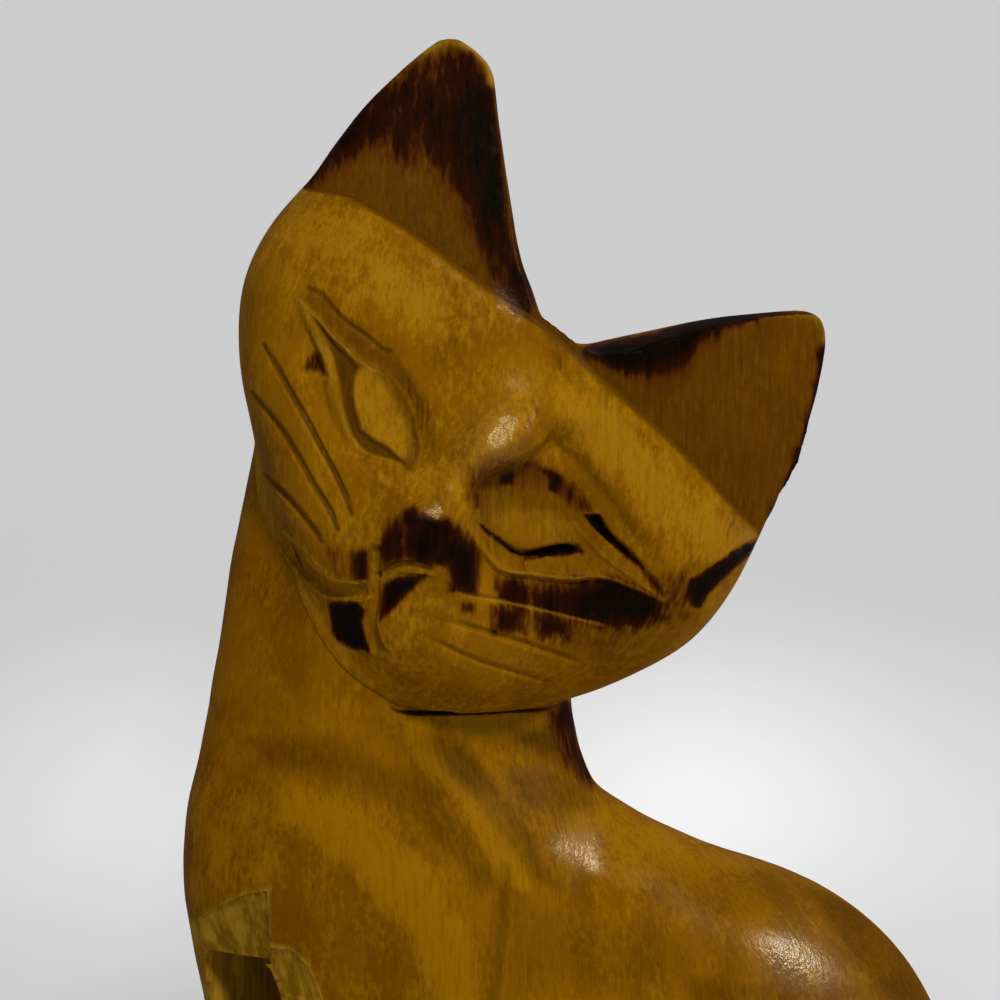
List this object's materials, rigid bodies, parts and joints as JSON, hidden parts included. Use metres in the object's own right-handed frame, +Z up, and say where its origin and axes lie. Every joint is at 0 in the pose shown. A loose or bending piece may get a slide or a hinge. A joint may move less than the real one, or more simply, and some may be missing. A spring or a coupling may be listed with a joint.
{
  "type": "carved wooden cat figurine",
  "caption": "Carved wooden cat that sits upright with its head turned and tilted to one side, an ornament that stands on a flat base.",
  "frame": {"origin": "on the flat base, under the middle of the body between the front and the hind legs", "axes": "+Z up, -Y is the way the cat's chest and front paws face, +X is the cat's left side"},
  "size_m": [0.089, 0.1425, 0.1871],
  "materials": {
    "body_wood": "amber stained, gloss varnish, scorched shading",
    "head_wood": "amber stained, gloss varnish, scorched shading",
    "peg_wood": "bare hardwood"
  },
  "bodies": {
    "root": {"body": "body_wood", "head": "head_wood", "neck_peg": "peg_wood"}
  },
  "joints": []
}
